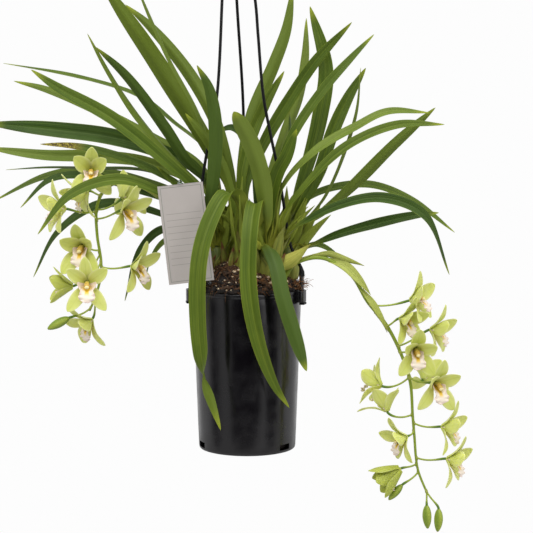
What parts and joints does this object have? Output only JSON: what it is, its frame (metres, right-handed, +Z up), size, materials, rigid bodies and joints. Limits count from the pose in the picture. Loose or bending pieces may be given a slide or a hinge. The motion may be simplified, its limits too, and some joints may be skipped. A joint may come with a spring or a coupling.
{
  "type": "potted orchid in a hanging pot",
  "caption": "Boat orchid with strap leaves and two drooping sprays of pale green flowers, in a tall black plastic pot with a three-strand hanger and a blank label.",
  "frame": {"origin": "the seat inside the top of the hook, where the whole hangs from a rail or a nail", "axes": "+Z up along the pot's axis, +X to the viewer's right, -Y toward the viewer who faces the front of the plant"},
  "size_m": [0.5254, 0.2356, 0.7756],
  "materials": {
    "pot": "satin",
    "growing_medium": "matte",
    "bulb": "satin",
    "leaf": "satin",
    "flowers": "satin",
    "hanger": "satin",
    "label": "matte",
    "clear_plastic": "gloss"
  },
  "bodies": {
    "root": {"pot": "pot", "growing_medium": "growing_medium", "bulb_left_front": "bulb", "bulb_left_back": "bulb", "bulb_middle_back": "bulb", "bulb_centre_front": "bulb", "bulb_right_front": "bulb", "bulb_right": "bulb", "bulb_right_back": "bulb", "leaf_left_low_tip": "leaf", "leaf_left_hooked": "leaf", "leaf_left_over_flowers": "leaf", "leaf_left_spotted_tip": "leaf", "leaf_left_broad": "leaf", "leaf_left_small": "leaf", "leaf_left_slim": "leaf", "leaf_left_upright_slim": "leaf", "leaf_left_twisted": "leaf", "leaf_far_left_drooping": "leaf", "leaf_far_left_bent": "leaf", "leaf_far_left_long": "leaf", "leaf_far_left_edge_on": "leaf", "leaf_far_left_pale": "leaf", "leaf_far_left_dark": "leaf", "leaf_far_left_behind": "leaf", "leaf_back_left_slim": "leaf", "leaf_upper_left_dark": "leaf", "leaf_upper_left_bright": "leaf", "leaf_upper_left_back": "leaf", "leaf_upper_middle": "leaf", "leaf_front_left_arching": "leaf", "leaf_front_folded": "leaf", "leaf_centre_bright_tip": "leaf", "leaf_centre_right_bright": "leaf", "leaf_centre_right_tall": "leaf", "leaf_front_right_drooping": "leaf", "leaf_front_centre_tall": "leaf", "leaf_centre_pointed": "leaf", "leaf_right_slanting": "leaf", "leaf_right_arching_high": "leaf", "leaf_right_arching_front": "leaf", "leaf_right_drooping": "leaf", "leaf_right_wide": "leaf", "leaf_right_stout": "leaf", "leaf_right_narrow": "leaf", "leaf_right_straight": "leaf", "leaf_right_low_dark": "leaf", "leaf_right_short": "leaf", "leaf_back_crossing": "leaf", "leaf_back_tall": "leaf", "leaf_back_short": "leaf", "leaf_back_right_arching": "leaf", "flower_spray_left": "flowers", "flower_spray_right": "flowers", "hanger_strand_left": "hanger", "hanger_strand_right": "hanger", "hanger_strand_back": "hanger", "hanger_hook": "hanger", "label_card": "label", "label_stake": "clear_plastic"}
  },
  "joints": []
}
